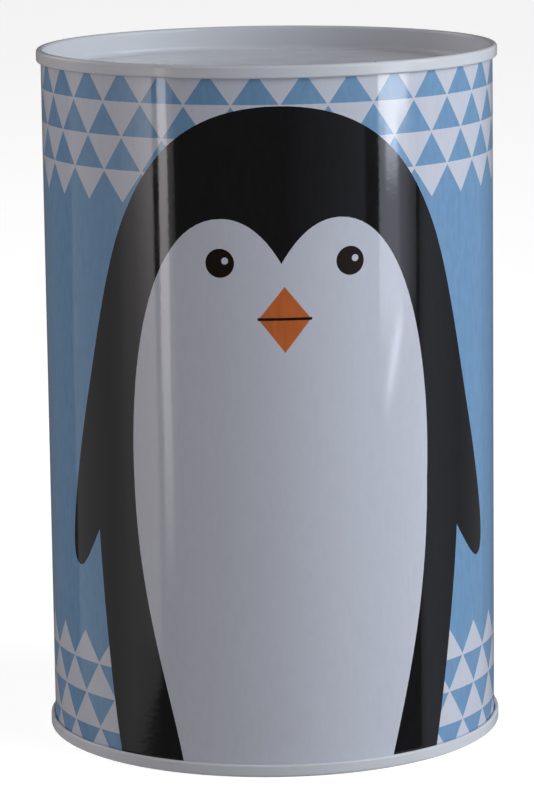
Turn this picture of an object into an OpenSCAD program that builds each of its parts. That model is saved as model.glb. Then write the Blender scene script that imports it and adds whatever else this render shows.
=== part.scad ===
// Round tinplate money box: a printed can body closed at both ends by double-seamed
// countersunk ends. The upper end has the coin slot, and the lower end has a hole
// with a push-in stopper. The origin is at the centre of the base, with +Z up and
// the front of the printed picture towards -Y.

/* [Can] */
// Outside diameter of the printed body
body_d = 100; // [90:1:120]
// Overall height over both seams
can_h = 153.5; // [110:0.5:220]
// Thickness of the tinplate
sheet = 0.25; // [0.2:0.01:0.26]

/* [Seams] */
// Height of a double seam
seam_h = 2.8; // [2.75:0.05:3.4]
// Free gap between the folded layers
seam_gap = 0.08; // [0.06:0.01:0.09]
// Depth of the recessed panels below the seams
recess_h = 5.4; // [4.5:0.1:8]
// Width of the folded side seam at the back
side_seam_w = 3.6; // [3:0.2:5]

/* [Coin slot] */
// Length of the coin slot
slot_l = 40; // [34:1:48]
// Width of the coin slot
slot_w = 4.8; // [4.6:0.1:6]
// Depth of the turned-down lip round the slot
lip_h = 1.4; // [1:0.1:2.5]

/* [Stopper] */
// Diameter of the emptying hole
hole_d = 42; // [36:1:44]
// Diameter of the stopper's flange
flange_d = 50; // [48:1:60]
// Thickness of the flange
flange_t = 1.4; // [1:0.1:1.8]
// Height of the stopper's skirt above the flange
skirt_h = 4.6; // [4:0.1:7]
// Wall of the skirt
skirt_t = 1.5; // [1:0.1:2.5]
// Free gap round the stopper
fit_gap = 0.1; // [0.08:0.01:0.2]

/* [Hidden] */

$fn = 96;
cut = 400;                                    // size of a half plane that cuts a profile
body_r = body_d / 2;

// layers of a seam, from the inside out, each named by the radius of its inner face
chuck_r = body_r - 2 * sheet - seam_gap;      // wall of the recess
cover_r = body_r + seam_gap;                  // hook of the end
hook_r = cover_r + sheet + seam_gap;          // hook of the body
rim_r = hook_r + sheet + seam_gap;            // outermost wall
seam_r = rim_r + sheet;

hook_bend = (hook_r - body_r) / 2;            // inner radius of the body's fold
cover_bend = (rim_r - cover_r - sheet) / 2;   // inner radius of the end's fold
rim_round = 0.6;                              // outer radius of the rim's two corners
panel_round = 1.2;                            // inner radius between wall and panel
lip_round = 0.5;                              // inner radius of a turned edge
compound_h = 0.3;                             // room for the compound over the body's fold

hook_top = can_h - sheet - compound_h;        // top of the body's fold
hook_axis = hook_top - hook_bend - sheet;     // centre height of that fold
cover_axis = can_h - seam_h + cover_bend + sheet;
hook_end = cover_axis + 0.15;                 // lower edge of the body's hook
cover_end = hook_axis - 0.1;                  // upper edge of the end's hook
panel_z = can_h - recess_h;                   // outer face of the upper panel

hole_r = hole_d / 2;
flange_top = recess_h - fit_gap;              // the lower panel's outer face is at recess_h
flange_z = flange_top - flange_t;
skirt_r = hole_r - 4 * fit_gap;
bead_r = hole_r - fit_gap;
bead_z = recess_h + lip_h + 1;
tab_w = 12;                                   // width of the pull tab
tab_l = 4;                                    // how far the tab reaches past the flange
tab_t = 1;                                    // thickness of the tab

// ---- profiles, drawn in the X-Y plane and turned about the can's axis ----

// A quarter or half of a bent sheet: only the part with x and y signs given by sx, sy
module bend(x, y, inner, sx, sy) {
    translate([x, y])
        intersection() {
            difference() {
                circle(r = inner + sheet);
                circle(r = inner);
            }
            translate([sx < 0 ? -cut : (sx > 0 ? 0 : -cut / 2), sy < 0 ? -cut : 0])
                square(cut);
        }
}

// A straight stretch of sheet from one corner to the other
module strip(x0, y0, x1, y1) {
    translate([x0, y0])
        square([x1 - x0, y1 - y0]);
}

// Upper half of the body with its fold
module body_profile() {
    strip(body_r - sheet, can_h / 2, body_r, hook_axis);
    bend(body_r + hook_bend, hook_axis, hook_bend, 0, 1);
    strip(hook_r, hook_end, hook_r + sheet, hook_axis);
}

// Upper end without its slot: panel, recess wall, rim and hook
module end_profile(panel_from) {
    strip(panel_from, panel_z - sheet, chuck_r - panel_round, panel_z);
    bend(chuck_r - panel_round, panel_z + panel_round, panel_round, 1, -1);
    strip(chuck_r, panel_z + panel_round, chuck_r + sheet, can_h - rim_round);
    bend(chuck_r + rim_round, can_h - rim_round, rim_round - sheet, -1, 1);
    strip(chuck_r + rim_round, can_h - sheet, seam_r - rim_round, can_h);
    bend(seam_r - rim_round, can_h - rim_round, rim_round - sheet, 1, 1);
    strip(rim_r, cover_axis, seam_r, can_h - rim_round);
    bend(rim_r - cover_bend, cover_axis, cover_bend, 0, -1);
    strip(cover_r, cover_axis, cover_r + sheet, cover_end);
}

// ---- helpers ----

// Turns an upper end or seam over to the base
module at_base() {
    translate([0, 0, can_h])
        rotate([180, 0, 0])
            children();
}

// Outline of the coin slot, grown by extra all round
module slot_outline(extra) {
    end_r = slot_w / 2 + extra;
    half = (slot_l - slot_w) / 2;
    square([2 * half, 2 * end_r], center = true);
    for (side = [-1, 1])
        translate([side * half, 0])
            circle(r = end_r);
}

// Ring of compound squeezed between the body's fold and the rim above it
module sealant_ring() {
    clear = 0.03;
    rotate_extrude()
        strip(body_r - 0.02, hook_top + clear, hook_r + 0.02, can_h - sheet - clear);
}

// ---- sub-parts ----

module can_body() {
    color("skyblue") {
        rotate_extrude()
            body_profile();
        at_base()
            rotate_extrude()
                body_profile();
        intersection() {
            difference() {
                cylinder(r = body_r - sheet / 2, h = can_h);
                cylinder(r = body_r - 3 * sheet, h = can_h);
            }
            translate([-side_seam_w / 2, 0, recess_h + 2 * sheet + 1])
                cube([side_seam_w, body_d, can_h - 2 * (recess_h + 2 * sheet + 1)]);
        }
    }
}

module top_end() {
    color("whitesmoke")
        difference() {
            union() {
                rotate_extrude()
                    end_profile(0);
                translate([0, 0, panel_z - lip_h])
                    linear_extrude(height = lip_h - sheet / 2)
                        slot_outline(sheet);
            }
            translate([0, 0, panel_z - 2 * lip_h])
                linear_extrude(height = 3 * lip_h)
                    slot_outline(0);
        }
}

module bottom_end() {
    color("whitesmoke")
        at_base()
            rotate_extrude() {
                collar_r = hole_r + sheet + lip_round;
                end_profile(collar_r);
                bend(collar_r, panel_z - sheet - lip_round, lip_round, -1, 1);
                strip(hole_r, panel_z - lip_h, hole_r + sheet, panel_z - sheet - lip_round);
            }
}

module top_seam_sealant() {
    color("dimgray")
        sealant_ring();
}

module bottom_seam_sealant() {
    color("dimgray")
        at_base()
            sealant_ring();
}

module base_stopper() {
    skirt_top = flange_top + skirt_h;
    color("ghostwhite") {
        rotate_extrude() {
            edge_r = flange_t / 2;
            strip(0, flange_z, flange_d / 2 - edge_r, flange_top);
            translate([flange_d / 2 - edge_r, flange_z + edge_r])
                circle(r = edge_r);
            strip(skirt_r - skirt_t, flange_z, skirt_r, skirt_top);
            // a low snap bead that just passes the collar
            intersection() {
                translate([bead_r - 1, bead_z])
                    circle(r = 1);
                strip(skirt_r - skirt_t, flange_z, bead_r, skirt_top);
            }
        }
        // pull tab at the front
        translate([-tab_w / 2, -flange_d / 2 - tab_l + tab_w / 2, flange_z])
            cube([tab_w, tab_l + 2, tab_t]);
        translate([0, -flange_d / 2 - tab_l + tab_w / 2, flange_z])
            cylinder(d = tab_w, h = tab_t);
    }
}

can_body();
top_end();
bottom_end();
top_seam_sealant();
bottom_seam_sealant();
base_stopper();
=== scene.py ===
"""Looks of the tin money box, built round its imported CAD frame.

Lengths are in millimetres until a mesh is made, except where a comment says otherwise.
"""

from math import cos, hypot, pi, radians, sin

import bmesh
import bpy
from mathutils import Euler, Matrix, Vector
from mathutils.geometry import delaunay_2d_cdt


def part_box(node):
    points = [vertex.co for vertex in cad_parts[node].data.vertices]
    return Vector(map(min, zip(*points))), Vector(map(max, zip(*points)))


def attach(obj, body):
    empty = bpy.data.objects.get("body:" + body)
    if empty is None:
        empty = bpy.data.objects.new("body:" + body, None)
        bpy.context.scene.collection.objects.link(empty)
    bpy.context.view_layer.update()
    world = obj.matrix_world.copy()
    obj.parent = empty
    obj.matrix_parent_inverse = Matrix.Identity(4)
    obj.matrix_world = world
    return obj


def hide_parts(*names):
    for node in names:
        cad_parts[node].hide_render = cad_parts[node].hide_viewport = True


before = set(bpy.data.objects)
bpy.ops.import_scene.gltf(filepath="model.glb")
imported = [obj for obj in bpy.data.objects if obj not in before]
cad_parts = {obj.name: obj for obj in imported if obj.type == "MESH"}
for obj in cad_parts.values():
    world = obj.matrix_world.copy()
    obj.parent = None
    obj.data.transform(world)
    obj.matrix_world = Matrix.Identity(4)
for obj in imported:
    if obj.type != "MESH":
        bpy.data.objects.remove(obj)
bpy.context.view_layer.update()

MM = 0.001

# ---- sizes, from the frame and the sheet's own layers ----

CAN_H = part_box("top_end")[1].z / MM
SEAM_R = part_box("top_end")[1].x / MM
SHEET = 0.25
LAYER_GAP = 0.08
SEAM_H = 2.8
RECESS_H = 5.4
BODY_R = SEAM_R - 3 * (SHEET + LAYER_GAP)      # outer face of the printed wall
CHUCK_R = BODY_R - 2 * SHEET - LAYER_GAP       # inner face of the recess wall
COVER_R = BODY_R + LAYER_GAP
HOOK_R = COVER_R + SHEET + LAYER_GAP
RIM_R = HOOK_R + SHEET + LAYER_GAP
HOOK_BEND = (HOOK_R - BODY_R) / 2
COVER_BEND = (RIM_R - COVER_R - SHEET) / 2
COMPOUND_H = 0.3
RIM_ROUND = 0.72
PANEL_ROUND = 1.2
HOOK_AXIS = CAN_H - SHEET - COMPOUND_H - HOOK_BEND - SHEET
COVER_AXIS = CAN_H - SEAM_H + COVER_BEND + SHEET
HOOK_CLEAR = 0.15                              # from the body's hook to the axis of the fold below it
COVER_CLEAR = 0.1                              # from the end's hook to the axis of the fold above it
PANEL_Z = CAN_H - RECESS_H

SLOT_L = 40
SLOT_W = 4.8
LIP_H = 1.4
LIP_ROUND = 0.35                               # inner radius of the lip's bend
HOLE_R = 21
COLLAR_ROUND = 0.5
PANEL_RINGS = ((42, 96), (34, 72), (27, 48))   # radius and points of rings that keep its triangles even

SIDES = 240                                    # straight steps round the can
QUARTER = pi / 2


# ---- mesh building ----

class Skin:
    """A closed mesh whose every face corner carries its own outward normal."""

    def __init__(self):
        self.points = []
        self.faces = []
        self.normals = []
        self.slots = []
        self.known = {}

    def point(self, place):
        """Index of the point at that place, which neighbouring faces then share."""
        key = tuple(round(value, 4) for value in place)
        if key not in self.known:
            self.known[key] = len(self.points)
            self.points.append(place)
        return self.known[key]

    def face(self, corners, normals, slot=0):
        """Adds a face from (x, y, z) corners, turned so that it looks along its normals."""
        indices = [self.point(corner) for corner in corners]
        kept = [i for i, index in enumerate(indices) if index != indices[i - 1]]
        if len(kept) < 3:
            return
        indices = [indices[i] for i in kept]
        normals = [Vector(normals[i]).normalized() for i in kept]
        a, b, c = (Vector(self.points[indices[i]]) for i in (0, 1, len(indices) - 1))
        if (b - a).cross(c - a).dot(sum(normals, Vector())) < 0:
            indices.reverse()
            normals.reverse()
        self.faces.append(indices)
        self.normals.extend(normals)
        self.slots.append(slot)

    def bridge(self, first, second, slot=0):
        """Joins two rings, each a (points, normals) pair of equal length."""
        for i in range(len(first[0])):
            j = i - 1
            corners = [first[0][j], first[0][i], second[0][i], second[0][j]]
            normals = [first[1][j], first[1][i], second[1][i], second[1][j]]
            self.face(corners, normals, slot)

    def upside_down(self):
        """The same skin turned over, as the lower end is the upper one's mirror image."""
        turned = Skin()
        corner = 0
        for indices, slot in zip(self.faces, self.slots):
            normals = self.normals[corner:corner + len(indices)]
            corner += len(indices)
            places = [self.points[i] for i in indices]
            turned.face([(x, y, CAN_H - z) for x, y, z in places],
                        [(n.x, n.y, -n.z) for n in normals], slot)
        return turned

    def build(self, name, materials):
        mesh = bpy.data.meshes.new(name)
        mesh.from_pydata([[v * MM for v in p] for p in self.points], [], self.faces)
        for material in materials:
            mesh.materials.append(material)
        mesh.polygons.foreach_set("material_index", self.slots)
        mesh.polygons.foreach_set("use_smooth", [True] * len(self.faces))
        mesh.normals_split_custom_set([tuple(n) for n in self.normals])
        piece = bpy.data.objects.new(name, mesh)
        bpy.context.scene.collection.objects.link(piece)
        return piece


def round_track(angles=None):
    """Centres and outward directions of a ring about the can's axis, counted from the front."""
    angles = angles or [2 * pi * i / SIDES for i in range(SIDES)]
    return [(0, 0, sin(a), -cos(a)) for a in angles]


def slot_track(steps=20):
    """The same for the coin slot's outline: two half circles joined by straight sides."""
    half = (SLOT_L - SLOT_W) / 2
    track = []
    for side, middle in ((1, 0), (-1, pi)):
        for i in range(steps + 1):
            angle = middle + QUARTER * (2 * i / steps - 1)
            track.append((side * half, 0, cos(angle), sin(angle)))
    return track


def ring(track, spot, normal):
    """Points and normals where a track passes a spot (distance, height) of a cross-section."""
    distance, height = spot
    points = [(cx + ox * distance, cy + oy * distance, height) for cx, cy, ox, oy in track]
    normals = [(ox * normal[0], oy * normal[0], normal[1]) for cx, cy, ox, oy in track]
    return points, normals


def trace(start, heading, steps):
    """Middle line of a bent sheet as (spot, left normal) pairs.

    A step is ("go", length) or ("turn", angle, radius).
    """
    x, z = start
    line = [((x, z), (-sin(heading), cos(heading)))]
    for kind, *values in steps:
        if kind == "go":
            x += values[0] * cos(heading)
            z += values[0] * sin(heading)
            line.append(((x, z), (-sin(heading), cos(heading))))
            continue
        turn, radius = values
        count = max(2, round(abs(turn) / QUARTER * 8))
        reach = radius if turn > 0 else -radius
        for _ in range(count):
            x -= reach * sin(heading)
            z += reach * cos(heading)
            heading += turn / count
            x += reach * sin(heading)
            z -= reach * cos(heading)
            line.append(((x, z), (-sin(heading), cos(heading))))
    return line


def sweep_sheet(skin, track, line, open_start=True, slots=(0, 0), edge_slot=0):
    """Sweeps a sheet along a track, and returns the first ring of its left and of its right face.

    It has an edge face at its end, and one at its start unless that is open.
    """
    sides = []
    for sign, slot in zip((1, -1), slots):
        rings = []
        for (x, z), (nx, nz) in line:
            spot = (x + sign * nx * SHEET / 2, z + sign * nz * SHEET / 2)
            rings.append(ring(track, spot, (sign * nx, sign * nz)))
        for first, second in zip(rings, rings[1:]):
            skin.bridge(first, second, slot)
        sides.append(rings)
    ends = [(-1, 1)] if open_start else [(-1, 1), (0, -1)]
    for index, sign in ends:
        nx, nz = line[index][1]
        facing = ring(track, (0, 0), (sign * nz, -sign * nx))[1]
        skin.bridge((sides[0][index][0], facing), (sides[1][index][0], facing), edge_slot)
    return sides[0][0], sides[1][0]


def triangulate(spots, edges, faces=()):
    """Triangles over flat points, edges and faces. Points that were given keep their exact places."""
    flat = [Vector(p) for p in spots]
    placed, _, triangles, sources, _, owners = delaunay_2d_cdt(flat, edges, list(faces), 0, 1e-4)
    places = [spots[min(own)] if own else tuple(place) for place, own in zip(placed, sources)]
    return places, triangles, owners


def fill_flat(skin, outer, inner, inside, height, normal):
    """Fills the flat stretch between an outer and an inner outline."""
    spots, edges = [], []
    for loop in (outer, inner):
        first = len(spots)
        spots += [p[:2] for p in loop]
        edges += [(first + i, first + (i + 1) % len(loop)) for i in range(len(loop))]
    for radius, count in PANEL_RINGS:
        angles = [2 * pi * i / count for i in range(count)]
        spots += [(radius * sin(a), radius * cos(a)) for a in angles]
    places, triangles, _ = triangulate(spots, edges)
    for triangle in triangles:
        corners = [places[i] for i in triangle]
        middle = [sum(c[k] for c in corners) / 3 for k in (0, 1)]
        if not inside(middle):
            skin.face([(x, y, height) for x, y in corners], [normal] * 3)


# ---- the printed body ----

PITCH = 10.3                                   # width of one printed triangle
ROW_H = 7.3                                    # height of one row of triangles
ROW_GAP = 0.45                                 # white line between two rows
TOP_ROWS_Z = 130.6                             # base of the lowest upper row
LOW_ROWS_Z = 20.95                             # base of the highest lower row
TEETH_H = 6.45                                 # depth of the white points into the blue
ROWS = 3
PRINT_LOW = 2.0                                # where the print ends, hidden by the seams
PRINT_HIGH = CAN_H - PRINT_LOW
HALF_ROUND = pi * BODY_R                       # from the front to the side seam
BARE_W = 2.2                                   # unprinted margin beside the side seam
PRINT_SIDE = HALF_ROUND - BARE_W

LAP_START = SEAM_H + 1                         # where the side seam's relief starts, from either end
LAP_FADE = 2                                   # the length over which it deepens
LAP_DEPTH = 0.07                               # how far the lapped strip lies below the full radius
LAP_W = 1.9
LAP_SLOPE = 0.2                                # width of the slope at that strip's edge
GROOVE_DEPTH = 0.16                            # the groove along the sheet's edge
GROOVE_HALF = 0.3
FOLD_T = 2 * SHEET                             # how far the folded seam stands in, inside the can
FOLD_HALF = 1.75                               # half width of its flat part
FOLD_SLOPE = 0.15
FOLD_END = 8                                   # where the fold starts, from either end

WHITE, BLUE, BLACK, ORANGE, EYE, BARE, INSIDE = range(7)    # material slots of the body


def curve(start, pull_a, pull_b, end, steps=24):
    """Points of a cubic curve, without its first one."""
    points = []
    for i in range(1, steps + 1):
        t = i / steps
        weights = ((1 - t) ** 3, 3 * t * (1 - t) ** 2, 3 * t * t * (1 - t), t ** 3)
        points.append(tuple(sum(w * p[k] for w, p in zip(weights, (start, pull_a, pull_b, end)))
                            for k in (0, 1)))
    return points


def cropped(outline, axis, limit, keep_above):
    """The part of an outline on one side of a straight line across it."""
    def kept(p):
        return p[axis] >= limit if keep_above else p[axis] <= limit

    result = []
    for a, b in zip(outline[-1:] + outline[:-1], outline):
        if kept(a) != kept(b):
            t = (limit - a[axis]) / (b[axis] - a[axis])
            result.append((a[0] + t * (b[0] - a[0]), a[1] + t * (b[1] - a[1])))
        if kept(b):
            result.append(b)
    return result


def on_sheet(outline):
    """Cuts an outline to the printed part of the sheet, and turns it counter-clockwise."""
    twice_area = sum(a[0] * b[1] - a[1] * b[0] for a, b in zip(outline, outline[1:] + outline[:1]))
    if twice_area < 0:
        outline = outline[::-1]
    for axis, limit, above in ((0, -PRINT_SIDE, True), (0, PRINT_SIDE, False),
                               (1, PRINT_LOW, True), (1, PRINT_HIGH, False)):
        if outline:
            outline = cropped(outline, axis, limit, above)
    return outline


def band(low, high):
    return [(-HALF_ROUND, low), (HALF_ROUND, low), (HALF_ROUND, high), (-HALF_ROUND, high)]


def triangle_row(base, tip, offset, inset):
    """A row of triangles all round the sheet, from their base height to their tips."""
    count = int(HALF_ROUND / PITCH) + 1
    row = []
    for i in range(-count, count + 1):
        middle = (i + offset) * PITCH
        half = PITCH / 2 - inset
        row.append([(middle - half, base), (middle + half, base), (middle, tip)])
    return row


def pattern():
    """White bands at the top and bottom, with rows of blue triangles and teeth into the blue field."""
    shapes = []
    for base, up, offset in ((TOP_ROWS_Z, 1, 0.5), (LOW_ROWS_Z, -1, 0)):
        near = base - up * ROW_GAP
        far = PRINT_HIGH if up > 0 else PRINT_LOW
        shapes.append((WHITE, band(min(near, far), max(near, far))))
        for tooth in triangle_row(near, near - up * TEETH_H, offset, 0):
            shapes.append((WHITE, tooth))
        for row in range(ROWS):
            row_base = base + up * row * ROW_H
            row_tip = row_base + up * (ROW_H - ROW_GAP)
            shift = offset + row * 0.5
            for triangle in triangle_row(row_base, row_tip, shift, ROW_GAP / 2):
                shapes.append((BLUE, triangle))
    return shapes


def body_side(side):
    """One side of the bird's back and flipper, from the top of its head to its foot."""
    if side < 0:
        foot, tip, crotch, crotch_z = 38.8, 55, 44.75, 51.4
    else:
        foot, tip, crotch, crotch_z = 37, 56.3, 44.6, 50.9
    points = [(0, 144.9)]
    for pull_a, pull_b, end in (
        ((22, 144.9), (30.9, 130), (35.9, 120)),
        ((40.9, 110), (44.5, 93), (48.2, 80)),
        ((51, 70), (tip + 0.1, 54), (tip, 47)),
        ((tip, 44), (tip - 1, 42.3), (tip - 2.8, 42.3)),
        ((tip - 5.2, 42.3), (crotch + 1.5, crotch_z - 2.2), (crotch, crotch_z)),
        ((crotch - 0.9, 37.6), (foot + 2.6, 14), (foot, PRINT_LOW)),
    ):
        points += curve(points[-1], pull_a, pull_b, end)
    return [(side * s, z) for s, z in points]


def belly_side(side):
    """One side of the white face and belly, from the notch between the eyes to the foot."""
    if side < 0:
        brow, widest, thigh, shin, foot = 27.8, 34.2, 33.5, 26.4, 22.9
    else:
        brow, widest, thigh, shin, foot = 27.1, 34.1, 34.2, 28.9, 24.2
    points = [(0, 111.6)]
    for pull_a, pull_b, end in (
        ((3.2, 117.1), (7.2, 121.2), (12.7, 121.2)),
        ((brow, 121.2), (35.5, 93), (widest, 63)),
        ((thigh, 38), (shin, 20), (foot, PRINT_LOW)),
    ):
        points += curve(points[-1], pull_a, pull_b, end)
    return [(side * s, z) for s, z in points]


def mirrored_outline(half):
    """Closes a right and a left half outline into one."""
    return half(1) + half(-1)[:0:-1]


def shifted(outline, by):
    return [(s + by, z) for s, z in outline]


def disc(s, z, radius, steps=40):
    angles = [2 * pi * i / steps for i in range(steps)]
    return [(s + radius * cos(a), z + radius * sin(a)) for a in angles]


def bird():
    """A plain penguin seen from the front: back and flippers, belly, eyes and beak."""
    back_shift = -0.4                          # each from the sheet's middle line
    eyes_shift = 0.9
    beak_shift = 0.6
    shapes = [
        (BLACK, shifted(mirrored_outline(body_side), back_shift)),
        (WHITE, mirrored_outline(belly_side)),
    ]
    eye_z, eye_r, eye_side = 111.8, 3.1, 14
    glint_s, glint_z, glint_r = 1.1, 0.5, 0.75
    for side in (-1, 1):
        eye_s = eyes_shift + side * eye_side
        shapes.append((EYE, disc(eye_s, eye_z, eye_r)))
        shapes.append((WHITE, disc(eye_s + glint_s, eye_z + glint_z, glint_r, 20)))
    beak_z, beak_half, beak_up, beak_down = 99.85, 5.6, 6.9, 7.2
    beak = [(-beak_half, beak_z), (0, beak_z + beak_up), (beak_half, beak_z), (0, beak_z - beak_down)]
    mouth_half = 5.8
    mouth_low, mouth_high = beak_z - 0.3, beak_z + 0.3
    mouth = [(-mouth_half, mouth_low), (mouth_half, mouth_low),
             (mouth_half, mouth_high), (-mouth_half, mouth_high)]
    shapes.append((ORANGE, shifted(beak, beak_shift)))
    shapes.append((EYE, shifted(mouth, beak_shift)))
    return shapes


def margins():
    """The bare strips along the side seam, one on each edge of the sheet."""
    strips = []
    for left, right in ((-HALF_ROUND, -PRINT_SIDE), (PRINT_SIDE, HALF_ROUND)):
        outline = [(left, PRINT_LOW), (right, PRINT_LOW), (right, PRINT_HIGH), (left, PRINT_HIGH)]
        strips.append((BARE, outline))
    return strips


def seam_angles():
    """Angles of the body's vertical lines: even steps, and closer ones across the side seam."""
    even = [2 * pi * i / SIDES - pi for i in range(SIDES)]
    close = [0.12, GROOVE_HALF, 0.55, 0.9, LAP_W - LAP_SLOPE, LAP_W, BARE_W]
    extra = [sign * (pi - d / BODY_R) for d in close for sign in (-1, 1)]
    return sorted(even + extra)


def lap(distance, z):
    """How far the outer face lies below the full radius, at a distance from the side seam."""
    from_start = min(z, CAN_H - z) - LAP_START
    fade = max(0, min(1, from_start / LAP_FADE))
    groove = GROOVE_DEPTH * max(0, 1 - abs(distance) / GROOVE_HALF)
    step = LAP_DEPTH * max(0, min(1, (LAP_W - distance) / LAP_SLOPE)) if distance >= 0 else 0
    return fade * max(groove, step)


def wall_place(s, z):
    """A point of the outer wall, from its place on the flat sheet."""
    distance = s + HALF_ROUND if s < 0 else s - HALF_ROUND
    radius = BODY_R - lap(distance, z)
    angle = s / BODY_R
    return radius * sin(angle), -radius * cos(angle), z


def wall_normal(s, z):
    step = 0.05
    along = Vector(wall_place(s + step, z)) - Vector(wall_place(s - step, z))
    up = Vector(wall_place(s, z + step)) - Vector(wall_place(s, z - step))
    return along.cross(up)


def printed_wall(skin):
    """The outer wall, cut along every printed edge, so that each ink has its own faces."""
    low, high = CAN_H - HOOK_AXIS, HOOK_AXIS
    uprights = [a * BODY_R for a in seam_angles()] + [HALF_ROUND]
    levels = [low, PRINT_LOW, LAP_START, LAP_START + LAP_FADE, *range(10, 146, 5),
              CAN_H - LAP_START - LAP_FADE, CAN_H - LAP_START, PRINT_HIGH, high]
    lines = [((s, low), (s, high)) for s in uprights]
    lines += [((-HALF_ROUND, z), (HALF_ROUND, z)) for z in levels]
    spots = [end for line in lines for end in line]
    edges = [(2 * i, 2 * i + 1) for i in range(len(lines))]

    inks, faces = [], []
    printed = [(ink, on_sheet(outline)) for ink, outline in pattern() + bird()]
    for ink, outline in printed + margins():
        if len(outline) > 2:
            faces.append(list(range(len(spots), len(spots) + len(outline))))
            inks.append(ink)
            spots += outline
    places, triangles, owners = triangulate(spots, edges, faces)
    for triangle, own in zip(triangles, owners):
        corners = [places[i] for i in triangle]
        height = sum(z for s, z in corners) / 3
        plain = BLUE if PRINT_LOW < height < PRINT_HIGH else WHITE
        skin.face([wall_place(*c) for c in corners], [wall_normal(*c) for c in corners],
                  inks[max(own)] if own else plain)


def inner_radius(angle):
    """Radius of the inner face, which stands in where the side seam is folded."""
    distance = (pi - abs(angle)) * BODY_R
    share = max(0, min(1, (FOLD_HALF + FOLD_SLOPE - distance) / FOLD_SLOPE))
    return BODY_R - SHEET - FOLD_T * share


def inner_wall(skin, angles):
    """The inner face, smooth but for the folded side seam."""
    heights = [CAN_H - HOOK_AXIS, FOLD_END, FOLD_END + 1, *range(15, 145, 10),
               CAN_H - FOLD_END - 1, CAN_H - FOLD_END, HOOK_AXIS]
    rings = []
    for z in heights:
        folded = FOLD_END < z < CAN_H - FOLD_END
        points, normals = [], []
        for a in angles:
            radius = inner_radius(a) if folded else BODY_R - SHEET
            points.append((radius * sin(a), -radius * cos(a), z))
            normals.append((-sin(a), cos(a), 0))
        rings.append((points, normals))
    for first, second in zip(rings, rings[1:]):
        skin.bridge(first, second, INSIDE)


def make_body():
    angles = seam_angles()
    skin = Skin()
    printed_wall(skin)
    inner_wall(skin, angles)
    steps = [("turn", -pi, HOOK_BEND + SHEET / 2), ("go", HOOK_AXIS - COVER_AXIS - HOOK_CLEAR)]
    line = trace((BODY_R - SHEET / 2, HOOK_AXIS), QUARTER, steps)
    for turned in (False, True):
        hook = Skin()
        sweep_sheet(hook, round_track(angles), line, slots=(INSIDE, WHITE), edge_slot=BARE)
        add_skin(skin, hook.upside_down() if turned else hook)
    return skin


def add_skin(skin, other):
    """Adds another skin's faces, joined where their points meet."""
    corner = 0
    for indices, slot in zip(other.faces, other.slots):
        normals = other.normals[corner:corner + len(indices)]
        corner += len(indices)
        skin.face([other.points[i] for i in indices], normals, slot)


# ---- the two ends ----

def rim_steps():
    """The recess wall, rim and hook of an end, from the panel's edge outwards."""
    wall = CAN_H - RIM_ROUND - (PANEL_Z + PANEL_ROUND)
    top = (SEAM_R - RIM_ROUND) - (CHUCK_R + RIM_ROUND)
    return [
        ("turn", QUARTER, PANEL_ROUND + SHEET / 2),
        ("go", wall),
        ("turn", -QUARTER, RIM_ROUND - SHEET / 2),
        ("go", top),
        ("turn", -QUARTER, RIM_ROUND - SHEET / 2),
        ("go", CAN_H - RIM_ROUND - COVER_AXIS),
        ("turn", -pi, COVER_BEND + SHEET / 2),
        ("go", HOOK_AXIS - COVER_CLEAR - COVER_AXIS),
    ]


def in_slot(reach):
    """A test for points nearer than reach to the coin slot's middle line."""
    half = (SLOT_L - SLOT_W) / 2
    return lambda p: hypot(max(0, abs(p[0]) - half), p[1]) < reach


def make_top_end():
    skin = Skin()
    panel = (CHUCK_R - PANEL_ROUND, PANEL_Z - SHEET / 2)
    upper, under = sweep_sheet(skin, round_track(), trace(panel, 0, rim_steps()))
    bend = LIP_ROUND + SHEET / 2
    reach = SLOT_W / 2 + SHEET / 2 + bend
    lip_steps = [("turn", QUARTER, bend), ("go", LIP_H - SHEET / 2 - bend)]
    lip = trace((reach, PANEL_Z - SHEET / 2), pi, lip_steps)
    lip_under, lip_upper = sweep_sheet(skin, slot_track(), lip)
    fill_flat(skin, upper[0], lip_upper[0], in_slot(reach), PANEL_Z, (0, 0, 1))
    fill_flat(skin, under[0], lip_under[0], in_slot(reach), PANEL_Z - SHEET, (0, 0, -1))
    return skin


def make_bottom_end():
    """The lower end, modelled as an upper one with a turned-in collar and then turned over."""
    skin = Skin()
    bend = COLLAR_ROUND + SHEET / 2
    collar = (HOLE_R + SHEET / 2, PANEL_Z - LIP_H)
    panel_width = (CHUCK_R - PANEL_ROUND) - (collar[0] + bend)
    steps = [("go", LIP_H - SHEET / 2 - bend), ("turn", -QUARTER, bend), ("go", panel_width)]
    steps += rim_steps()
    sweep_sheet(skin, round_track(), trace(collar, QUARTER, steps), open_start=False)
    return skin.upside_down()


# ---- the stopper ----

STOPPER_LOW, STOPPER_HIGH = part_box("base_stopper")
FLANGE_Z = STOPPER_LOW.z / MM
FLANGE_R = STOPPER_HIGH.x / MM
SKIRT_TOP = STOPPER_HIGH.z / MM
TAB_REACH = -STOPPER_LOW.y / MM                # how far the pull tab reaches from the axis
FLANGE_T = 1.4
SKIRT_R = HOLE_R - 0.4
SKIRT_T = 1.5
BEAD_R = HOLE_R - 0.1
BEAD_Z = RECESS_H + LIP_H + 1
BEAD_ROUND = 1                                 # radius of the bead's own arc
BEAD_REACH = 45.5                              # angle in degrees at which that arc meets the skirt
TAB_W = 12
TAB_T = 1
DISH_R = 17                                    # shallow dish in the outer face
DISH_DEPTH = 0.6
GATE_R = 1.1                                   # moulding mark in the middle of the dish
GATE_EDGE = 0.1
GATE_FILLET = 0.2
RIBS = 3                                       # ribs across the pull tab
RIB_HALF = 2.6
RIB_W = 0.5
RIB_PITCH = 1.1
RIB_START = 1.6                                # from the tab's tip to the first rib
RIB_RISE = 0.2                                 # how far the ribs stand below the flange's face


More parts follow.
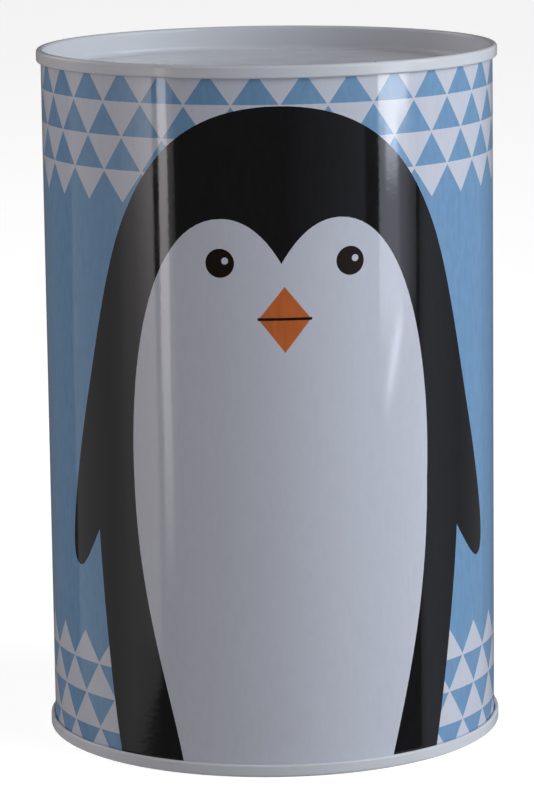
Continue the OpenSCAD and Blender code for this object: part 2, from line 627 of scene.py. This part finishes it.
def arc(x, z, radius, start, end, steps=6):
    """Points of an arc about (x, z) between two angles in degrees."""
    angles = [radians(start + (end - start) * i / steps) for i in range(steps + 1)]
    return [(x + radius * cos(a), z + radius * sin(a)) for a in angles]


def stopper_outline():
    """Half outline of the stopper, from the axis below to the axis above."""
    top = FLANGE_Z + FLANGE_T
    dish = FLANGE_Z + DISH_DEPTH
    gate = FLANGE_Z + 0.2
    fillet = DISH_DEPTH / 2
    edge = FLANGE_T / 2
    small = 0.4                                # rounding of the skirt's edges and corners
    inside = SKIRT_R - SKIRT_T
    return [
        (0, gate),
        *arc(GATE_R - GATE_EDGE, gate + GATE_EDGE, GATE_EDGE, -90, 0, 3),
        *arc(GATE_R + GATE_FILLET, dish - GATE_FILLET, GATE_FILLET, 180, 90, 3),
        *arc(DISH_R - 2 * fillet, dish - fillet, fillet, 90, 0),
        *arc(DISH_R, dish - fillet, fillet, 180, 270),
        *arc(FLANGE_R - edge, FLANGE_Z + edge, edge, -90, 90, 12),
        *arc(SKIRT_R + small, top + small, small, 270, 180),
        *arc(BEAD_R - BEAD_ROUND, BEAD_Z, BEAD_ROUND, -BEAD_REACH, BEAD_REACH, 10),
        *arc(SKIRT_R - small, SKIRT_TOP - small, small, 0, 90),
        *arc(inside + small, SKIRT_TOP - small, small, 90, 180),
        *arc(inside - small, top + small, small, 0, -90),
        (0, top),
    ]


def turned_solid(name, outline):
    """A solid of revolution from its half outline, which starts and ends on the axis."""
    shape = bmesh.new()
    rings = []
    for radius, height in outline:
        count = SIDES if radius else 1
        rings.append([shape.verts.new((radius * MM * sin(2 * pi * i / SIDES),
                                       -radius * MM * cos(2 * pi * i / SIDES), height * MM))
                      for i in range(count)])
    for low, high in zip(rings, rings[1:]):
        for i in range(SIDES):
            corners = [low[(i - 1) % len(low)], low[i % len(low)],
                       high[i % len(high)], high[(i - 1) % len(high)]]
            shape.faces.new(dict.fromkeys(corners))
    return finished(name, shape)


def slab(name, outline, low, high, rounding):
    """A flat plate with rounded edges, from its outline seen from above."""
    shape = bmesh.new()
    floor = shape.faces.new([shape.verts.new((x * MM, y * MM, low * MM)) for x, y in outline])
    grown = bmesh.ops.extrude_face_region(shape, geom=[floor])["geom"]
    raised = [v for v in grown if isinstance(v, bmesh.types.BMVert)]
    bmesh.ops.translate(shape, verts=raised, vec=(0, 0, (high - low) * MM))
    rims = [e for e in shape.edges if abs(e.verts[0].co.z - e.verts[1].co.z) < MM * 0.01]
    bmesh.ops.bevel(shape, geom=rims, offset=rounding * MM, segments=3, profile=0.5, affect="EDGES")
    return finished(name, shape)


def finished(name, shape):
    bmesh.ops.recalc_face_normals(shape, faces=shape.faces)
    mesh = bpy.data.meshes.new(name)
    shape.to_mesh(mesh)
    shape.free()
    piece = bpy.data.objects.new(name, mesh)
    bpy.context.scene.collection.objects.link(piece)
    return piece


def unite(piece, others):
    """Joins other solids to a piece, and removes them."""
    for other in others:
        modifier = piece.modifiers.new("union", "BOOLEAN")
        modifier.operation = "UNION"
        modifier.object = other
    seen = piece.evaluated_get(bpy.context.evaluated_depsgraph_get())
    piece.data = bpy.data.meshes.new_from_object(seen)
    piece.modifiers.clear()
    for other in others:
        bpy.data.objects.remove(other)


def make_stopper():
    """A push-in plug with a flange, a snap bead and a ribbed pull tab at the front."""
    stopper = turned_solid("push_in_stopper", stopper_outline())
    half = TAB_W / 2
    tip_y = half - TAB_REACH
    sunk = 0.05                                # keeps the tab's face clear of the flange's own
    outline = [(x, y + tip_y) for x, y in arc(0, 0, half, 180, 360, 32)]
    outline += [(half, tip_y + 2), (-half, tip_y + 2)]
    parts = [slab("tab", outline, FLANGE_Z + sunk, FLANGE_Z + sunk + TAB_T, 0.25)]
    for i in range(RIBS):
        y = RIB_START + RIB_PITCH * i - TAB_REACH
        rib = [(-RIB_HALF, y), (RIB_HALF, y), (RIB_HALF, y + RIB_W), (-RIB_HALF, y + RIB_W)]
        parts.append(slab("rib", rib, FLANGE_Z - RIB_RISE, FLANGE_Z + 0.6, 0.15))
    unite(stopper, parts)
    stopper.data.shade_smooth()
    stopper.data.set_sharp_from_angle(angle=radians(35))
    return stopper


# ---- materials ----

class Finish:
    """A procedural material: a Principled shader and the nodes that drive it. Scales are per metre."""

    def __init__(self, name, colour, values=None):
        self.material = bpy.data.materials.new(name)
        self.material.use_nodes = True
        self.nodes = self.material.node_tree.nodes
        self.links = self.material.node_tree.links
        self.shader = self.nodes["Principled BSDF"]
        self.shader.inputs["Base Color"].default_value = (*colour, 1)
        for socket, value in (values or {}).items():
            self.shader.inputs[socket].default_value = value

    def place(self):
        return self.nodes.new("ShaderNodeTexCoord").outputs["Object"]

    def noise(self, scale, detail=2, stretch=(1, 1, 1)):
        mapping = self.nodes.new("ShaderNodeMapping")
        mapping.inputs["Scale"].default_value = stretch
        self.links.new(self.place(), mapping.inputs["Vector"])
        noise = self.nodes.new("ShaderNodeTexNoise")
        noise.inputs["Scale"].default_value = scale
        noise.inputs["Detail"].default_value = detail
        self.links.new(mapping.outputs["Vector"], noise.inputs["Vector"])
        return noise.outputs["Fac"]

    def ramp(self, source, start, end, low=0, high=1):
        """A value that runs from low to high while its source runs from start to end."""
        node = self.nodes.new("ShaderNodeMapRange")
        for socket, value in zip(("From Min", "From Max", "To Min", "To Max"), (start, end, low, high)):
            node.inputs[socket].default_value = value
        self.links.new(source, node.inputs["Value"])
        return node.outputs["Result"]

    def times(self, first, second):
        node = self.nodes.new("ShaderNodeMath")
        node.operation = "MULTIPLY"
        self.links.new(first, node.inputs[0])
        self.links.new(second, node.inputs[1])
        return node.outputs["Value"]

    def near_ends(self, start, end):
        """1 close to the top and bottom of the can, by the height above its middle in millimetres."""
        split = self.nodes.new("ShaderNodeSeparateXYZ")
        self.links.new(self.place(), split.inputs["Vector"])
        offset = self.nodes.new("ShaderNodeMath")
        offset.operation = "SUBTRACT"
        offset.inputs[1].default_value = CAN_H / 2 * MM
        self.links.new(split.outputs["Z"], offset.inputs[0])
        size = self.nodes.new("ShaderNodeMath")
        size.operation = "ABSOLUTE"
        self.links.new(offset.outputs["Value"], size.inputs[0])
        return self.ramp(size.outputs["Value"], start * MM, end * MM)

    def drive(self, socket, source):
        self.links.new(source, self.shader.inputs[socket])

    def tint(self, other, amount):
        """Blends the colour towards another by a driven amount."""
        mix = self.nodes.new("ShaderNodeMix")
        mix.data_type = "RGBA"
        mix.inputs["A"].default_value = self.shader.inputs["Base Color"].default_value
        if self.shader.inputs["Base Color"].is_linked:
            self.links.new(self.shader.inputs["Base Color"].links[0].from_socket, mix.inputs["A"])
        mix.inputs["B"].default_value = (*other, 1)
        self.links.new(amount, mix.inputs["Factor"])
        self.drive("Base Color", mix.outputs["Result"])

    def bump(self, source, depth):
        """Adds relief of a depth in millimetres to any that is already there."""
        node = self.nodes.new("ShaderNodeBump")
        node.inputs["Distance"].default_value = depth * MM
        self.links.new(source, node.inputs["Height"])
        before = self.shader.inputs["Normal"]
        if before.is_linked:
            self.links.new(before.links[0].from_socket, node.inputs["Normal"])
        self.drive("Normal", node.outputs["Normal"])


def ink(name, colour, mottle):
    """Varnished ink on thin tinplate, with a cloudy gloss and a mottle given as a share of its colour.

    Its relief is waves of the sheet, upright forming lines and fine flow marks.
    """
    thick, thin = ([value * (1 + sign * mottle) for value in colour] for sign in (-1, 1))
    finish = Finish(name, thick)
    finish.tint(thin, finish.ramp(finish.noise(900, 3, (1, 1, 0.3)), 0.35, 0.65))
    finish.drive("Roughness", finish.ramp(finish.noise(70, 3), 0.3, 0.7, 0.045, 0.085))
    finish.bump(finish.noise(16, 1), 0.6)
    finish.bump(finish.noise(300, 2, (1, 1, 0.04)), 0.01)
    finish.bump(finish.noise(650, 2), 0.005)
    return finish.material


def bare_tinplate():
    finish = Finish("bare_tinplate", (0.56, 0.56, 0.57), {"Metallic": 1})
    finish.drive("Roughness", finish.ramp(finish.noise(500, 3, (1, 1, 0.04)), 0.3, 0.7, 0.26, 0.42))
    finish.bump(finish.noise(900, 2, (1, 1, 0.05)), 0.008)
    return finish.material


def inside_lacquer():
    """Clear golden lacquer over tin, inside the can."""
    finish = Finish("inside_lacquer", (0.62, 0.53, 0.36), {"Metallic": 1})
    finish.drive("Roughness", finish.ramp(finish.noise(220, 3), 0.3, 0.7, 0.3, 0.46))
    finish.bump(finish.noise(700, 2), 0.01)
    return finish.material


def white_lacquer():
    """Glossy white lacquer on a formed end, with specks of wear along the rim's edges."""
    finish = Finish("white_lacquer", (0.68, 0.69, 0.735), {"Specular IOR Level": 0.3})
    finish.tint((0.58, 0.59, 0.63), finish.ramp(finish.noise(45, 3), 0.45, 0.75, 0, 0.3))
    chips = finish.ramp(finish.noise(900, 3), 0.69, 0.73)
    edge = finish.near_ends(CAN_H / 2 - 0.35, CAN_H / 2 - 0.05)
    worn = finish.times(chips, edge)
    finish.tint((0.2, 0.19, 0.18), worn)
    finish.drive("Roughness", finish.ramp(finish.noise(90, 3), 0.3, 0.7, 0.12, 0.2))
    finish.bump(finish.noise(30, 1), 0.25)
    finish.bump(finish.noise(600, 2), 0.012)
    return finish.material


def seam_compound():
    finish = Finish("seam_compound", (0.05, 0.05, 0.052))
    finish.drive("Roughness", finish.ramp(finish.noise(900, 3), 0.3, 0.7, 0.55, 0.8))
    finish.bump(finish.noise(1500, 3), 0.03)
    return finish.material


def stopper_plastic():
    """Soft, slightly waxy moulded polyethylene."""
    finish = Finish("stopper_plastic", (0.7, 0.7, 0.68), {"Subsurface Weight": 0.15,
                                                          "Subsurface Scale": 0.002})
    finish.tint((0.6, 0.6, 0.57), finish.ramp(finish.noise(120, 3), 0.4, 0.7, 0, 0.4))
    finish.drive("Roughness", finish.ramp(finish.noise(300, 3), 0.3, 0.7, 0.38, 0.52))
    finish.bump(finish.noise(2500, 2), 0.008)
    return finish.material


def floor_surface():
    """A pale matt floor that can't be seen from below, so that it doesn't hide the base."""
    finish = Finish("pale_floor", (0.45, 0.45, 0.45), {"Roughness": 0.9, "Specular IOR Level": 0.1,
                                                       "Emission Strength": 0.84})
    finish.tint((0.43, 0.43, 0.43), finish.noise(3, 2))
    geometry = finish.nodes.new("ShaderNodeNewGeometry")
    clear = finish.nodes.new("ShaderNodeBsdfTransparent")
    mix = finish.nodes.new("ShaderNodeMixShader")
    finish.links.new(geometry.outputs["Backfacing"], mix.inputs["Fac"])
    finish.links.new(finish.shader.outputs["BSDF"], mix.inputs[1])
    finish.links.new(clear.outputs["BSDF"], mix.inputs[2])
    finish.links.new(mix.outputs["Shader"], finish.nodes["Material Output"].inputs["Surface"])
    return finish.material


# ---- studio ----

CAMERA_TURN = radians(-2.9)                    # from the picture's own middle, seen from above
CAMERA_TILT = radians(10.35)
CAMERA_ROLL = radians(-0.758)
CAMERA_DISTANCE = 850
CAMERA_LENS = 170.0                            # on a sensor of 36 along the picture's height
AIM_SIDE = -0.89                               # the view's centre, from the can's middle
AIM_DOWN = 3.22


def around(turn, distance, height):
    """A place round the can, by its angle from the camera's side (positive to the right)."""
    angle = CAMERA_TURN + radians(turn)
    return Vector((distance * sin(angle), -distance * cos(angle), height)) * MM


def make_camera():
    data = bpy.data.cameras.new("camera")
    data.lens = CAMERA_LENS
    data.clip_start = 0.01
    camera = bpy.data.objects.new("camera", data)
    facing = Euler((pi / 2 - CAMERA_TILT, 0, CAMERA_TURN)).to_quaternion()
    aim = facing @ Vector((AIM_SIDE, -AIM_DOWN, 0)) * MM
    middle = Vector((0, 0, CAN_H / 2 * MM))
    camera.location = middle + aim + facing @ Vector((0, 0, CAMERA_DISTANCE * MM))
    camera.rotation_euler = (facing @ Euler((0, 0, CAMERA_ROLL)).to_quaternion()).to_euler()
    bpy.context.scene.collection.objects.link(camera)
    bpy.context.scene.camera = camera


def make_light(name, place, width, height, glow, colour, across=(), up=(), roll=0, aim=None):
    """A rectangular light of a given radiance, which the camera doesn't see.

    It is aimed level at the can's axis, or at a point in metres. Its brightness varies from left
    to right and from bottom to top by (place, brightness) stops.
    """
    data = bpy.data.lights.new(name, "AREA")
    data.shape = "RECTANGLE"
    data.size = width * MM
    data.size_y = height * MM
    data.energy = glow * pi * data.size * data.size_y
    data.color = colour
    shade_light(data, across, up)
    light = bpy.data.objects.new(name, data)
    target = Vector(aim or (0, 0, place.z))
    light.location = place
    facing = (target - place).to_track_quat("-Z", "Y") @ Euler((0, 0, radians(roll))).to_quaternion()
    light.rotation_euler = facing.to_euler()
    light.visible_camera = False
    bpy.context.scene.collection.objects.link(light)


def shade_light(data, across, up):
    """Gives a light its profiles, each a list of (place, brightness) stops from 0 to 1."""
    data.use_nodes = True
    nodes, links = data.node_tree.nodes, data.node_tree.links
    geometry = nodes.new("ShaderNodeNewGeometry")
    split = nodes.new("ShaderNodeSeparateXYZ")
    links.new(geometry.outputs["Parametric"], split.inputs["Vector"])
    strength = nodes.new("ShaderNodeMath")
    strength.operation = "MULTIPLY"
    for index, stops in enumerate((across or [(0, 1), (1, 1)], up or [(0, 1), (1, 1)])):
        profile = nodes.new("ShaderNodeValToRGB")
        elements = profile.color_ramp.elements
        while len(elements) < len(stops):
            elements.new(0.5)
        for element, (position, brightness) in zip(elements, stops):
            element.position = position
            element.color = (brightness, brightness, brightness, 1)
        links.new(split.outputs[index], profile.inputs["Fac"])
        links.new(profile.outputs["Color"], strength.inputs[index])
    links.new(strength.outputs["Value"], nodes["Emission"].inputs["Strength"])


def make_world():
    """Dim surroundings that light the can, and a pale backdrop that only the camera sees."""
    world = bpy.data.worlds.new("studio")
    world.use_nodes = True
    nodes, links = world.node_tree.nodes, world.node_tree.links
    dim = nodes["Background"]
    dim.inputs["Color"].default_value = (1, 0.98, 0.98, 1)
    dim.inputs["Strength"].default_value = 0.105
    pale = nodes.new("ShaderNodeBackground")
    pale.inputs["Color"].default_value = (0.97, 0.97, 0.97, 1)
    seen = nodes.new("ShaderNodeLightPath")
    mix = nodes.new("ShaderNodeMixShader")
    links.new(seen.outputs["Is Camera Ray"], mix.inputs["Fac"])
    links.new(dim.outputs["Background"], mix.inputs[1])
    links.new(pale.outputs["Background"], mix.inputs[2])
    links.new(mix.outputs["Shader"], nodes["World Output"].inputs["Surface"])
    bpy.context.scene.world = world


def make_floor():
    half = 5                                   # in metres
    mesh = bpy.data.meshes.new("floor")
    mesh.from_pydata([(-half, -half, 0), (half, -half, 0), (half, half, 0), (-half, half, 0)], [],
                     [(0, 1, 2, 3)])
    mesh.materials.append(floor_surface())
    floor = bpy.data.objects.new("floor", mesh)
    floor.visible_glossy = False
    floor.visible_diffuse = False
    floor.visible_shadow = False
    bpy.context.scene.collection.objects.link(floor)


def make_studio():
    make_camera()
    make_world()
    make_floor()
    bpy.context.scene.view_settings.view_transform = "Standard"
    cool = (0.82, 0.86, 1)
    warm = (1, 0.95, 0.95)
    low_aim = (0, 0, 0.07)                     # in metres
    high_aim = (0, 0, 0.1)
    make_light("key", around(66, 920, 470), 900, 900, 3.6, (0.9, 0.957, 1), aim=low_aim)
    make_light("floor_glow", Vector((0, 0, -0.3)), 1600, 1600, 0.12, (1, 1, 1), aim=(0, 0, 0))
    make_light("front_fill", around(29, 1200, 200), 840, 1500, 0.3, cool, across=[(0, 0), (1, 1)])
    make_light("right_strip", around(66.1, 700, 28), 270, 136, 2.6, cool,
               across=[(0, 1), (0.46, 1), (0.55, 0.7), (1, 0.15)], up=[(0.1, 0), (0.28, 1)])
    make_light("right_lamp", around(62.2, 680, 60), 92, 36, 6.8, cool,
               across=[(0, 0.3), (0.15, 1), (0.8, 1), (1, 0.3)],
               up=[(0, 0), (0.55, 1), (0.8, 1), (1, 0)])
    make_light("right_flare", around(64, 690, 79), 230, 20, 7, (1, 0.98, 0.95),
               across=[(0, 0), (0.06, 1), (0.8, 1), (1, 0)], up=[(0, 0), (0.45, 1)])
    make_light("right_glint", around(63.1, 670, -18), 150, 12, 10, cool,
               across=[(0, 0), (0.35, 1), (0.75, 1), (1, 0)],
               up=[(0, 0), (0.4, 1), (0.6, 1), (1, 0)], roll=12.7)
    make_light("right_panel", around(109, 1200, 60), 1300, 1500, 0.42, cool,
               across=[(0, 0.6), (0.08, 1), (0.2, 0.9), (0.5, 0.35), (1, 0.3)])
    make_light("left_strip", around(-50.4, 700, 20), 100, 260, 6, warm,
               across=[(0, 1), (0.55, 1), (0.6, 0.18), (1, 0.12)],
               up=[(0, 0), (0.115, 0.22), (0.29, 0.5), (0.585, 0.76), (0.76, 1)])
    make_light("left_panel", around(-88, 1100, 175), 1270, 950, 0.5, warm,
               across=[(0, 0.6), (0.5, 0.65), (0.67, 1), (0.95, 1), (1, 0.3)])
    make_light("left_window", around(-69.4, 1180, 250), 460, 1000, 2, warm,
               across=[(0, 0), (0.5, 0.3), (1, 1)], up=[(0, 0.1), (0.13, 0.45), (0.24, 1)])
    make_light("left_high", around(-85, 1000, 620), 600, 600, 0.6, warm, aim=high_aim)
    make_light("back_left", around(-125, 1100, 650), 900, 600, 1.5, warm, aim=high_aim)
    make_light("back_fill", around(178, 1300, -900), 1500, 700, 3, (1, 1, 1),
               up=[(0, 1), (0.6, 1), (1, 0)], aim=low_aim)


# ---- assembly ----

def place_piece(piece, body, node):
    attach(piece, body)
    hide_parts(node)


def make_pieces():
    finishes = [
        ink("white_coat", (0.62, 0.635, 0.715), 0.015),
        ink("blue_ink", (0.175, 0.33, 0.535), 0.05),
        ink("black_ink", (0.005, 0.005, 0.006), 0.2),
        ink("orange_ink", (0.6, 0.143, 0.034), 0.07),
        ink("dark_brown_ink", (0.008, 0.002, 0.0005), 0.2),
        bare_tinplate(),
        inside_lacquer(),
    ]
    lacquer = white_lacquer()
    place_piece(make_body().build("printed_body", finishes), "can", "can_body")
    place_piece(make_top_end().build("slotted_top", [lacquer]), "can", "top_end")
    place_piece(make_bottom_end().build("holed_base", [lacquer]), "can", "bottom_end")
    stopper = make_stopper()
    stopper.data.materials.append(stopper_plastic())
    place_piece(stopper, "stopper", "base_stopper")
    compound = seam_compound()
    for name in ("top_seam_sealant", "bottom_seam_sealant"):
        for material_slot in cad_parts[name].material_slots:
            material_slot.material = compound


make_studio()
make_pieces()
